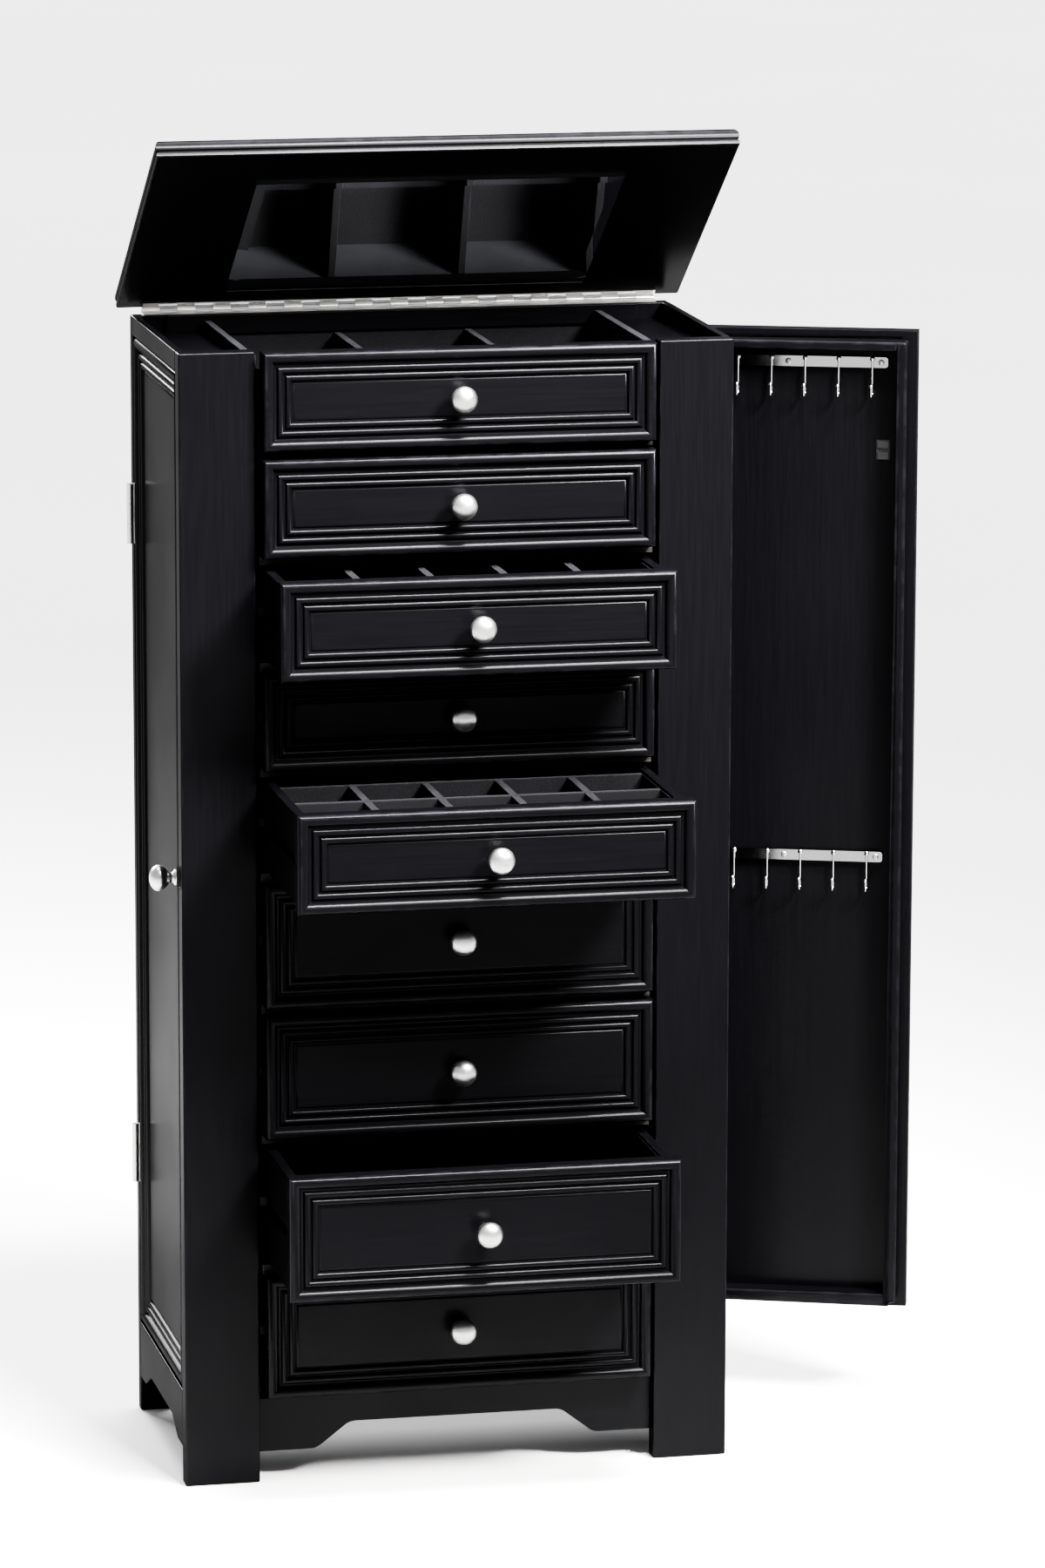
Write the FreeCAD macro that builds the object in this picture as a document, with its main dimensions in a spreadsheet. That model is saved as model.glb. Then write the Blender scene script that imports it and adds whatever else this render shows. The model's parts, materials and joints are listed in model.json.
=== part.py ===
"""Jewelry armoire: a lift-top tray, eight drawers and two side doors with necklace hooks.

Frame: origin on the floor under the centre of the body's footprint, +Z up, the front faces -Y.
Lengths are millimetres, angles are degrees. The lid, the right door and drawers 3, 5 and 8 stand open.
"""
import FreeCAD, Part
import Sketcher
import os
import re

from FreeCAD import Placement, Rotation, Vector

SIZES = {
    # body
    "bodyWidth": 486, "bodyDepth": 256, "bodyHeight": 1000,
    "columnWidth": 66, "columnThick": 18, "postWidth": 30, "postThick": 13,
    "partitionThick": 13, "partitionInset": 4, "stackSetback": 6, "backThick": 6,
    "bottomBase": 62, "bottomThick": 12,
    "backRailThick": 18, "sideRailThick": 7, "sideRailHeight": 17,
    # aprons: height of the flat by the leg, of the arch, and where the slope between them runs
    "apronThick": 12, "apronSetback": 10,
    "apronFlat": 25, "apronArch": 48, "apronFlatLength": 52, "apronSlope": 30, "apronRound": 16,
    "sideApronTop": 83, "sideApronThick": 18, "sideApronFlat": 32, "sideApronArch": 46, "sideApronRound": 14,
    # fronts, counted from the top: five small and four large ones
    "smallPitch": 92.5, "largePitch": 116.5, "frontGap": 7, "frontSideGap": 5,
    "frontThick": 18, "frontProud": 14,
    "frontBorder": 28, "frontRecess": 5, "frontEdge": 2.5,
    # drawer boxes on their wooden guides
    "boxHalf": 169, "boxWall": 8, "boxLift": 4, "boxLength": 215, "boxFloorLift": 5, "boxFloor": 4,
    "grooveDepth": 4, "grooveStart": 5, "grooveHeight": 9,
    "guideWidth": 7, "guideHeight": 8, "guideStart": 14, "guideLength": 210,
    "railThick": 8, "railDepth": 40,
    "dividerThick": 7, "dividerHeight": 66, "gridPitch": 69,
    "drawerThreeOut": 80, "drawerFiveOut": 155, "drawerEightOut": 110,
    # lift-top tray
    "trayFloorThick": 6, "sideTrayFloor": 3, "trayDividerThick": 7, "longDividerTop": 5,
    "lowDividerPlace": 59, "lowDividerTop": 19,
    # lid and its piano hinge
    "lidThick": 18, "lidSideOverhang": 12, "lidFrontOverhang": 7, "lidRound": 7, "lidOpen": 35,
    "mirrorWidth": 324, "mirrorDepth": 197, "mirrorThick": 3, "mirrorBack": 30,
    "pinBehind": 3.6, "leafLevel": 2, "leafThick": 1.2, "leafWidth": 9, "leafSetback": 0.2,
    "knuckleRadius": 3.2, "knucklePitch": 16, "knuckleGap": 0.3, "tabReach": 1.4,
    "pinRadius": 1.6, "boreRadius": 1.65,
    # side doors, hinged at their back edge
    "doorBase": 85, "doorTop": 981.5, "doorThick": 18, "doorWidth": 220.5, "doorOpen": 70,
    "doorAxisOut": 3.4, "doorAxisGap": 1.25, "doorBorder": 28,
    "doorLeafSpace": 0.25, "doorLeafSetback": 0.4, "doorLeafThick": 1, "doorLeafWidth": 16,
    "doorLeafHeight": 54,
    "doorKnuckleRadius": 3, "doorPinRadius": 1.5, "doorBoreRadius": 1.55, "doorTabReach": 1.8,
    "doorHingeInset": 130,
    "rimInset": 8, "rimThick": 8.5, "rimDepth": 22,
    "rackLength": 148, "rackHeight": 10, "rackThick": 5, "rackInset": 26, "rackUpper": 953, "rackLower": 504,
    "hookPitch": 30, "hookWire": 1.3, "hookStem": 26, "hookBend": 5, "hookTip": 6, "hookBall": 2.3,
    "strikeHeight": 18, "strikeWidth": 12, "strikeThick": 1.5, "strikeLevel": 874, "strikeInset": 24,
    "catchGap": 0.6, "catchHeight": 22,
    # knobs
    "knobFootRadius": 7, "knobFootHeight": 2.5, "knobNeckRadius": 4.5, "knobCentre": 16,
    "knobHalfHeight": 8.2, "knobRadius": 11.5, "doorKnobLevel": 534, "doorKnobInset": 36,
}

SMALL_FRONTS = 5
FRONTS = 9
OUT = {3: "drawerThreeOut", 5: "drawerFiveOut", 8: "drawerEightOut"}
LID_KNUCKLES = 29
DOOR_KNUCKLES = 3
HOOKS = 5
CROSS_BAYS = 5
SIDES = {"left": -1, "right": 1}

# Places that many pieces share, as expressions of the sizes above.
SIDE = "(bodyWidth / 2)"
FRONT = "(-bodyDepth / 2)"
BACK = "(bodyDepth / 2)"
OPENING = "(bodyWidth / 2 - columnWidth)"
STACK = "(bodyWidth / 2 - columnWidth - partitionInset)"
PARTITION_OUT = f"({STACK} + partitionThick)"
COLUMN_BACK = f"({FRONT} + columnThick)"
POST_FRONT = f"({BACK} - postThick)"
STACK_FRONT = f"({FRONT} + stackSetback)"
BACK_RAIL_FRONT = f"({BACK} - backRailThick)"
SIDE_RAIL_BASE = "(bodyHeight - sideRailHeight)"
FRONT_HALF = f"({OPENING} - frontSideGap)"
FRONT_BACK = f"({FRONT} - frontProud + frontThick)"
BOTTOM_TOP = "(bottomBase + bottomThick)"
TRAY_BASE = "(bodyHeight - smallPitch + frontGap)"
DOOR_INNER = "(doorAxisOut + doorThick)"
HINGE_Y = f"({POST_FRONT} - doorAxisGap)"

doc = FreeCAD.newDocument("jewelry_armoire")
sheet = doc.addObject("Spreadsheet::Sheet", "Sizes")
for row, (alias, number) in enumerate(SIZES.items(), 1):
    sheet.set(f"A{row}", alias)
    sheet.set(f"B{row}", str(number))
    sheet.setAlias(f"B{row}", alias)
doc.recompute()

probe = doc.addObject("App::FeaturePython", "Probe")
probe.addProperty("App::PropertyFloat", "Place")

sub_parts = []


def sized(text):
    """The expression with each size's name turned into its cell of the sheet."""
    return re.sub(r"[A-Za-z]\w*", lambda word: f"Sizes.{word[0]}", str(text))


def bind(item, **sizes):
    """Binds each named property to an expression of the sheet."""
    for name, text in sizes.items():
        item.setExpression(name, sized(text))
    return item


def place(item, x="0", y="0", z="0", axis=None, angle="0"):
    """Binds a piece's place, and its turn about an axis."""
    if axis:
        item.Placement = Placement(Vector(), Rotation(Vector(*axis), 1))
        item.setExpression(".Placement.Rotation.Angle", sized(angle))
    for name, text in (("x", x), ("y", y), ("z", z)):
        item.setExpression(f".Placement.Base.{name}", sized(text))
    return item


def board(name, x, y, z):
    """A straight board, from pairs of lowest and highest places."""
    box = doc.addObject("Part::Box", name)
    bind(box, Length=f"{x[1]} - ({x[0]})", Width=f"{y[1]} - ({y[0]})", Height=f"{z[1]} - ({z[0]})")
    return place(box, x[0], y[0], z[0])


def rod(name, radius, length, x="0", y="0", z="0", axis=None, angle="0"):
    """A round bar along +Z, turned about an axis if one is given."""
    bar = bind(doc.addObject("Part::Cylinder", name), Radius=radius, Height=length)
    return place(bar, x, y, z, axis, angle)


def fused(name, pieces):
    """Several shapes joined into one solid."""
    joined = doc.addObject("Part::MultiFuse", name)
    joined.Shapes = pieces
    return joined


def cut(name, base, tool):
    """A shape with another taken out of it."""
    result = doc.addObject("Part::Cut", name)
    result.Base = base
    result.Tool = tool
    return result


def grouped(name, pieces):
    """Separate solids that are handled as one sub-part."""
    group = doc.addObject("Part::Compound", name)
    group.Links = pieces
    return group


def sub_part(item, label):
    """Names a finished sub-part, which is written to a file of that name."""
    item.Label = label
    sub_parts.append(item)
    return item


def value_of(text):
    """The number that an expression of the sizes comes to."""
    probe.setExpression("Place", sized(text))
    probe.recompute()
    return probe.Place


def outline(body, role, name, corners, lift="0"):
    """A closed outline of straight lines on one of the body's origin planes, each corner bound."""
    sketch = body.newObject("Sketcher::SketchObject", name)
    plane = next(feature for feature in body.Origin.OriginFeatures if feature.Role == role)
    sketch.AttachmentSupport = [(plane, "")]
    sketch.MapMode = "FlatFace"
    sketch.setExpression(".AttachmentOffset.Base.z", sized(lift))
    points = [Vector(*(value_of(text) for text in corner)) for corner in corners]
    for index, point in enumerate(points):
        sketch.addGeometry(Part.LineSegment(point, points[(index + 1) % len(points)]))
    for index, (point, corner) in enumerate(zip(points, corners)):
        previous = (index - 1) % len(points)
        sketch.addConstraint(Sketcher.Constraint("Coincident", previous, 2, index, 1))
        for kind, number, text in (("DistanceX", point.x, corner[0]), ("DistanceY", point.y, corner[1])):
            constraint = sketch.addConstraint(Sketcher.Constraint(kind, -1, 1, index, 1, number))
            sketch.setExpression(f"Constraints[{constraint}]", sized(text))
    return sketch


def rectangle(x, y):
    """The corners of a rectangle, from pairs of lowest and highest places."""
    return [(x[0], y[0]), (x[1], y[0]), (x[1], y[1]), (x[0], y[1])]


def pad(body, sketch, name, length):
    """Material added from a sketch along its plane's normal."""
    feature = body.newObject("PartDesign::Pad", name)
    feature.Profile = sketch
    return bind(feature, Length=length)


def pocket(body, sketch, name, depth, flipped=False):
    """Material taken out below a sketch, with a test that it did cut."""
    doc.recompute()
    before = body.Shape.Volume
    feature = body.newObject("PartDesign::Pocket", name)
    feature.Profile = sketch
    feature.Reversed = flipped
    bind(feature, Length=depth)
    doc.recompute()
    if body.Shape.Volume >= before:
        raise RuntimeError(f"{name} cuts nothing")
    return feature


def round_over(body, base, name, radius, chosen):
    """Rounds those edges of a feature that the test chooses."""
    doc.recompute()
    feature = body.newObject("PartDesign::Fillet", name)
    edges = [f"Edge{index}" for index, edge in enumerate(base.Shape.Edges, 1) if chosen(edge)]
    feature.Base = (base, edges)
    return bind(feature, Radius=radius)


# ---------------------------------------------------------------- cabinet

def mirrored_boards(label, x, y, z):
    """One board on each side of the body, as one sub-part."""
    low, high = x
    right = board(f"{label}_right", (low, high), y, z)
    left = board(f"{label}_left", (f"-({high})", f"-({low})"), y, z)
    return sub_part(grouped(label, [left, right]), label)


def apron(name, role, corners, lift, thick, radius):
    """A board with a shaped lower edge: straight slopes whose corners are rounded into S-curves."""
    body = doc.addObject("PartDesign::Body", name)
    blank = pad(body, outline(body, role, f"{name}_outline", corners, lift), f"{name}_pad", thick)
    across = Vector(0, 1, 0) if role == "XZ_Plane" else Vector(1, 0, 0)
    top = max(value_of(corner[1]) for corner in corners)
    ends = {round(value_of(corner[0]), 3) for corner in (corners[0], corners[-1])}
    along = 0 if role == "XZ_Plane" else 1

    def is_curve_corner(edge):
        straight = edge.Curve.TypeId == "Part::GeomLine" and abs(edge.Curve.Direction.dot(across)) > 0.99
        spot = edge.Vertexes[0].Point
        return straight and spot.z < top - 1 and round(spot[along], 3) not in ends

    round_over(body, blank, f"{name}_curves", radius, is_curve_corner)
    return body


def make_carcass():
    """Columns, posts, rails, aprons, partitions and panels."""
    full = ("0", "bodyHeight")
    mirrored_boards("front_columns", (OPENING, SIDE), (FRONT, COLUMN_BACK), full)
    mirrored_boards("back_posts", (f"{SIDE} - postWidth", SIDE), (POST_FRONT, BACK), full)
    mirrored_boards("side_top_rails", (f"{SIDE} - sideRailThick", SIDE), (COLUMN_BACK, POST_FRONT),
                    (SIDE_RAIL_BASE, "bodyHeight"))
    mirrored_boards("partitions", (STACK, PARTITION_OUT), (COLUMN_BACK, POST_FRONT),
                    (BOTTOM_TOP, SIDE_RAIL_BASE))
    half_back = f"({SIDE} - postWidth)"
    sub_part(board("back_panel", (f"-{half_back}", half_back), (POST_FRONT, f"{POST_FRONT} + backThick"),
                   ("bottomBase", SIDE_RAIL_BASE)), "back_panel")
    sub_part(board("back_rail", (f"-{half_back}", half_back), (BACK_RAIL_FRONT, BACK),
                   (SIDE_RAIL_BASE, "bodyHeight")), "back_rail")
    half_bottom = f"({SIDE} - sideApronThick)"
    apron_back = f"({FRONT} + apronSetback + apronThick)"
    sub_part(board("bottom_board", (f"-{half_bottom}", half_bottom), (apron_back, POST_FRONT),
                   ("bottomBase", BOTTOM_TOP)), "bottom_board")


def make_aprons():
    """The arched board under the drawers and the shaped board under each door."""
    flat, arch = f"({OPENING} - apronFlatLength)", f"({OPENING} - apronFlatLength - apronSlope)"
    corners = [(f"-{OPENING}", BOTTOM_TOP), (f"-{OPENING}", "apronFlat"), (f"-{flat}", "apronFlat"),
               (f"-{arch}", "apronArch"), (arch, "apronArch"), (flat, "apronFlat"),
               (OPENING, "apronFlat"), (OPENING, BOTTOM_TOP)]
    front = apron("front_apron_body", "XZ_Plane", corners, f"-({FRONT} + apronSetback + apronThick)",
                  "apronThick", "apronRound")
    sub_part(front, "front_apron")
    corners = [(COLUMN_BACK, "sideApronTop"), (COLUMN_BACK, "sideApronFlat"),
               (f"{COLUMN_BACK} + apronFlatLength / 2", "sideApronFlat"),
               (f"{COLUMN_BACK} + apronFlatLength / 2 + apronSlope", "sideApronArch"),
               (f"{POST_FRONT} - apronFlatLength / 2 - apronSlope", "sideApronArch"),
               (f"{POST_FRONT} - apronFlatLength / 2", "sideApronFlat"),
               (POST_FRONT, "sideApronFlat"), (POST_FRONT, "sideApronTop")]
    lifts = {"left": f"-{SIDE}", "right": f"{SIDE} - sideApronThick"}
    bodies = [apron(f"{side}_apron_body", "YZ_Plane", corners, lift, "sideApronThick", "sideApronRound")
              for side, lift in lifts.items()]
    sub_part(grouped("side_aprons_group", bodies), "side_aprons")


def make_tray():
    """Floors and dividers of the lift-top tray."""
    stack = (f"-{STACK}", STACK)
    side_depth = (COLUMN_BACK, BACK_RAIL_FRONT)
    side_level = (SIDE_RAIL_BASE, f"{SIDE_RAIL_BASE} + sideTrayFloor")
    inner, outer = STACK, f"({SIDE} - sideRailThick)"
    floors = [board("tray_floor_middle", stack, (STACK_FRONT, POST_FRONT),
                    (f"{TRAY_BASE} - trayFloorThick", TRAY_BASE)),
              board("tray_floor_left", (f"-{outer}", f"-{inner}"), side_depth, side_level),
              board("tray_floor_right", (inner, outer), side_depth, side_level)]
    sub_part(grouped("tray_floors_group", floors), "tray_floors")
    long_level = (f"{SIDE_RAIL_BASE} + sideTrayFloor", "bodyHeight - longDividerTop")
    low_level = (TRAY_BASE, "bodyHeight - lowDividerTop")
    dividers = []
    for side, sign in SIDES.items():
        wall = f"({sign} * ({STACK} + trayDividerThick / 2))"
        dividers.append(board(f"long_divider_{side}", (f"{wall} - trayDividerThick / 2",
                        f"{wall} + trayDividerThick / 2"), (COLUMN_BACK, BACK_RAIL_FRONT), long_level))
        wall = f"({sign} * lowDividerPlace)"
        dividers.append(board(f"low_divider_{side}", (f"{wall} - trayDividerThick / 2",
                        f"{wall} + trayDividerThick / 2"), (STACK_FRONT, POST_FRONT), low_level))
    sub_part(grouped("tray_dividers_group", dividers), "tray_dividers")


# ---------------------------------------------------------------- fronts and drawers

def front_height(number):
    """Height of a front, counted from the top."""
    return "(smallPitch - frontGap)" if number <= SMALL_FRONTS else "(largePitch - frontGap)"


def front_base(number):
    """Level of a front's lower edge."""
    small = min(number, SMALL_FRONTS)
    return f"(bodyHeight + frontGap - {small} * smallPitch - {number - small} * largePitch)"


def moulded_front(name, number, thick):
    """A slab with a raised border round a sunk panel; its back lies on the local XZ plane."""
    body = doc.addObject("PartDesign::Body", name)
    full = rectangle((f"-{FRONT_HALF}", FRONT_HALF), ("0", front_height(number)))
    slab = pad(body, outline(body, "XZ_Plane", f"{name}_slab_outline", full), f"{name}_slab", thick)
    sunk = rectangle((f"frontBorder - {FRONT_HALF}", f"{FRONT_HALF} - frontBorder"),
                     ("frontBorder", f"{front_height(number)} - frontBorder"))
    doc.recompute()
    face = -slab.Length.Value
    rounded = round_over(body, slab, f"{name}_edge", "frontEdge",
                         lambda edge: all(abs(spot.Y - face) < 0.01 for spot in edge.Vertexes))
    pocket(body, outline(body, "XZ_Plane", f"{name}_panel_outline", sunk, thick), f"{name}_panel",
           "frontRecess")
    body.Tip = body.Group[-1]
    return body


def knob(name):
    """A flattened ball on a short neck and a small foot, standing up along +Z."""
    foot = rod(f"{name}_foot", "knobFootRadius", "knobFootHeight")
    neck = rod(f"{name}_neck", "knobNeckRadius", "knobCentre")
    head = bind(doc.addObject("Part::Ellipsoid", f"{name}_head"), Radius1="knobHalfHeight",
                Radius2="knobRadius", Radius3="knobRadius")
    place(head, z="knobCentre")
    return fused(name, [foot, neck, head])


def front_knob(number, out="0"):
    """The knob in the middle of a front."""
    item = knob(f"knob_{number}")
    level = f"{front_base(number)} + {front_height(number)} / 2"
    return place(item, y=f"{FRONT} - frontProud + frontRecess - {out}", z=level, axis=(1, 0, 0), angle="90")


def drawer_box(number):
    """Two grooved sides, a back and a bottom, with the front's back at the local y = 0."""
    height = f"{front_height(number)} - boxLift"
    middle = f"({front_height(number)} / 2)"
    level, depth = ("boxLift", height), ("0", "boxLength")
    walls = []
    for side, sign in SIDES.items():
        centre = f"({sign} * (boxHalf - boxWall / 2))"
        wall = board(f"drawer_{number}_{side}_blank", (f"{centre} - boxWall / 2", f"{centre} + boxWall / 2"),
                     depth, level)
        slot = f"({sign} * (boxHalf - grooveDepth / 2))"
        groove = board(f"drawer_{number}_{side}_slot",
                       (f"{slot} - grooveDepth / 2", f"{slot} + grooveDepth / 2"),
                       ("grooveStart", "boxLength"),
                       (f"{middle} - grooveHeight / 2", f"{middle} + grooveHeight / 2"))
        walls.append(cut(f"drawer_{number}_{side}_side", wall, groove))
    inside = ("boxWall - boxHalf", "boxHalf - boxWall")
    walls.append(board(f"drawer_{number}_back", inside, ("boxLength - boxWall", "boxLength"), level))
    walls.append(board(f"drawer_{number}_bottom", inside, ("0", "boxLength - boxWall"),
                       ("boxLift + boxFloorLift", "boxLift + boxFloorLift + boxFloor")))
    return grouped(f"drawer_{number}_walls", walls)


def cross_dividers(number, runs):
    """Upright dividers that part the drawer's width into equal bays, over each run of its depth."""
    bay = f"(2 * (boxHalf - boxWall) / {CROSS_BAYS})"
    floor = "(boxLift + boxFloorLift + boxFloor)"
    pieces = []
    for index in range(1, CROSS_BAYS):
        middle = f"({index} * {bay} - boxHalf + boxWall)"
        for run, (start, end) in enumerate(runs):
            pieces.append(board(f"drawer_{number}_cross_{index}_{run}",
                                (f"{middle} - dividerThick / 2", f"{middle} + dividerThick / 2"),
                                (start, end), (floor, f"{floor} + dividerHeight")))
    return pieces


def grid_dividers(number):
    """Two lengthwise dividers and the cross dividers in front of them."""
    floor = "(boxLift + boxFloorLift + boxFloor)"
    inside = ("boxWall - boxHalf", "boxHalf - boxWall")
    lengthwise = [board(f"drawer_{number}_long_{row}", inside,
                        (f"{row} * gridPitch - dividerThick / 2", f"{row} * gridPitch + dividerThick / 2"),
                        (floor, f"{floor} + dividerHeight")) for row in (1, 2)]
    runs = [("0", "gridPitch - dividerThick / 2"),
            ("gridPitch + dividerThick / 2", "2 * gridPitch - dividerThick / 2")]
    return lengthwise + cross_dividers(number, runs)


def make_drawer(number):
    """One drawer at its rest place, with its front, box, knob and any dividers."""
    out = OUT.get(number, "0")
    where = {"y": f"{FRONT_BACK} - {out}", "z": front_base(number)}
    front = moulded_front(f"front_{number}", number, "frontThick")
    sub_part(place(front, **where), f"drawer_{number}_front")
    sub_part(place(drawer_box(number), **where), f"drawer_{number}_box")
    sub_part(front_knob(number, out), f"drawer_{number}_knob")
    dividers = {3: lambda: cross_dividers(3, [("0", "boxLength - boxWall")]), 5: lambda: grid_dividers(5)}
    if number in dividers:
        group = grouped(f"drawer_{number}_dividers_group", dividers[number]())
        sub_part(place(group, **where), f"drawer_{number}_dividers")


def make_drawer_supports():
    """Rails between the drawers and a guide strip for each side of each drawer."""
    rails, guides = [], []
    for number in range(2, FRONTS + 1):
        if number < FRONTS:
            middle = f"({front_base(number)} - frontGap / 2)"
            rails.append(board(f"rail_{number}", (f"-{STACK}", STACK),
                               (STACK_FRONT, f"{STACK_FRONT} + railDepth"),
                               (f"{middle} - railThick / 2", f"{middle} + railThick / 2")))
        middle = f"({front_base(number)} + {front_height(number)} / 2)"
        for side, sign in SIDES.items():
            centre = f"({sign} * ({STACK} - guideWidth / 2))"
            guides.append(board(f"guide_{number}_{side}",
                                (f"{centre} - guideWidth / 2", f"{centre} + guideWidth / 2"),
                                (f"{FRONT_BACK} + guideStart", f"{FRONT_BACK} + guideStart + guideLength"),
                                (f"{middle} - guideHeight / 2", f"{middle} + guideHeight / 2")))
    sub_part(grouped("drawer_rails_group", rails), "drawer_rails")
    sub_part(grouped("drawer_guides_group", guides), "drawer_guides")


def make_false_front():
    """The fixed top front, which closes the tray and looks like a drawer."""
    front = moulded_front("front_1", 1, "frontProud + stackSetback")
    sub_part(place(front, y=STACK_FRONT, z=front_base(1)), "top_false_front")
    sub_part(front_knob(1), "top_false_front_knob")


# ---------------------------------------------------------------- lid

def hang_lid(item, label):
    """Places a piece of the lid, whose local origin is the hinge axis and whose rest is open."""
    place(item, y=f"{BACK} + pinBehind", z="bodyHeight + leafLevel", axis=(-1, 0, 0), angle="lidOpen")
    return sub_part(item, label)


def piano_leaf(name, sign, first):
    """A leaf with every other knuckle of the barrel; sign is +1 for the leaf above the axis."""
    length = f"({LID_KNUCKLES} * knucklePitch)"
    centre = f"({sign} * (leafLevel - leafThick / 2))"
    level = (f"{centre} - leafThick / 2", f"{centre} + leafThick / 2")
    edge = "(-pinBehind - leafSetback)"
    strip = board(f"{name}_strip", (f"-{length} / 2", f"{length} / 2"), (f"{edge} - leafWidth", edge),
                  level)
    pieces = [strip]
    for index in range(first, LID_KNUCKLES, 2):
        start = f"({index} * knucklePitch + knuckleGap / 2 - {length} / 2)"
        pieces.append(board(f"{name}_tab_{index}", (start, f"{start} + knucklePitch - knuckleGap"),
                            (edge, f"{edge} + tabReach"), level))
        pieces.append(rod(f"{name}_knuckle_{index}", "knuckleRadius", "knucklePitch - knuckleGap",
                          x=start, axis=(0, 1, 0), angle="90"))
    bore = rod(f"{name}_bore", "boreRadius", f"{length} + 2 * knucklePitch",
               x=f"-{length} / 2 - knucklePitch", axis=(0, 1, 0), angle="90")
    return cut(name, fused(f"{name}_blank", pieces), bore)


def make_lid():
    """The lid board with rounded upper edges, its mirror and its leaf of the piano hinge."""
    body = doc.addObject("PartDesign::Body", "lid_body")
    half = f"({SIDE} + lidSideOverhang)"
    length = "(bodyDepth + frontProud + lidFrontOverhang)"
    corners = rectangle((f"-{half}", half), (f"-pinBehind - {length}", "-pinBehind"))
    slab = pad(body, outline(body, "XY_Plane", "lid_outline", corners, "leafLevel"), "lid_slab", "lidThick")
    doc.recompute()
    top, back = slab.Shape.BoundBox.ZMax, slab.Shape.BoundBox.YMax
    round_over(body, slab, "lid_edge", "lidRound",
               lambda edge: all(abs(spot.Z - top) < 0.01 for spot in edge.Vertexes)
               and any(spot.Y < back - 1 for spot in edge.Vertexes))
    hang_lid(body, "lid_board")
    depth = (f"-pinBehind - mirrorBack - mirrorDepth", "-pinBehind - mirrorBack")
    mirror = board("mirror_plate", ("-mirrorWidth / 2", "mirrorWidth / 2"), depth,
                   ("leafLevel - mirrorThick", "leafLevel"))
    hang_lid(grouped("lid_mirror_group", [mirror]), "lid_mirror")
    hang_lid(piano_leaf("lid_leaf", 1, 1), "lid_hinge_lid_leaf")
    fixed = piano_leaf("cabinet_leaf", -1, 0)
    sub_part(place(fixed, y=f"{BACK} + pinBehind", z="bodyHeight + leafLevel"), "lid_hinge_cabinet_leaf")


# ---------------------------------------------------------------- side doors

def door_board(name, sign, inward, along, level):
    """A board of a door: inward is measured from the hinge axis into the body, along from it to the front."""
    x = (f"-({inward[1]})", f"-({inward[0]})") if sign > 0 else inward
    return board(name, x, (f"-({along[1]})", f"-({along[0]})"), level)


def hinge_place(sign):
    """Where a door's hinge axis stands."""
    return {"x": f"{sign} * ({SIDE} + doorAxisOut)", "y": HINGE_Y}


def hang_door(item, side, label):
    """Places a piece of a door, whose local origin is the hinge axis; the right door stands open."""
    angle = "doorOpen" if side == "right" else "0"
    place(item, **hinge_place(SIDES[side]), axis=(0, 0, 1), angle=angle)
    return sub_part(item, f"{side}_door_{label}")


def door_slab(side):
    """The moulded door board, its border raised round a sunk panel on the outer face."""
    sign = SIDES[side]
    body = doc.addObject("PartDesign::Body", f"{side}_door_body")
    near, far = "-doorAxisGap", "(-doorAxisGap - doorWidth)"
    back_face = f"-{DOOR_INNER}" if sign > 0 else "doorAxisOut"
    corners = rectangle((far, near), ("doorBase", "doorTop"))
    pad(body, outline(body, "YZ_Plane", f"{side}_door_outline", corners, back_face), f"{side}_door_pad",
        "doorThick")
    sunk = rectangle((f"{far} + doorBorder", f"{near} - doorBorder"),
                     ("doorBase + doorBorder", "doorTop - doorBorder"))
    outer = f"{-sign} * doorAxisOut"
    pocket(body, outline(body, "YZ_Plane", f"{side}_door_panel_outline", sunk, outer),
           f"{side}_door_panel", "frontRecess", flipped=sign < 0)
    return body


def tray_rim(side):
    """Four strips that make the shallow tray on the inner face."""
    sign = SIDES[side]
    near, far = "(doorAxisGap + rimInset)", "(doorAxisGap + doorWidth - rimInset)"
    low, high = "(doorBase + rimInset)", "(doorTop - rimInset)"
    inward = (DOOR_INNER, f"{DOOR_INNER} + rimDepth")
    inner_along = (f"{near} + rimThick", f"{far} - rimThick")
    strips = {"hinge": ((near, f"{near} + rimThick"), (low, high)),
              "free": ((f"{far} - rimThick", far), (low, high)),
              "lower": (inner_along, (low, f"{low} + rimThick")),
              "upper": (inner_along, (f"{high} - rimThick", high))}
    return grouped(f"{side}_rim_group", [door_board(f"{side}_rim_{name}", sign, inward, along, level)
                                         for name, (along, level) in strips.items()])


def hook(name, sign, along, level):
    """A wire hook with a ball on its tip, hanging from the rack's face."""
    stem_in = f"({DOOR_INNER} + rackThick)"
    low = f"({level} - hookStem)"
    y = f"-({along})"
    stem = rod(f"{name}_stem", "hookWire", "hookStem", x=f"{-sign} * {stem_in}", y=y, z=low)
    bend = doc.addObject("Part::Torus", f"{name}_bend")
    bind(bend, Radius1="hookBend", Radius2="hookWire")
    bend.Angle3 = 180
    place(bend, f"{-sign} * ({stem_in} + hookBend)", y, low, axis=(-1, 0, 0), angle="90")
    tip_in = f"({stem_in} + 2 * hookBend)"
    tip = rod(f"{name}_tip", "hookWire", "hookTip", x=f"{-sign} * {tip_in}", y=y, z=low)
    ball = bind(doc.addObject("Part::Sphere", f"{name}_ball"), Radius="hookBall")
    place(ball, f"{-sign} * {tip_in}", y, f"{low} + hookTip")
    return [stem, bend, tip, ball]


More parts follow.
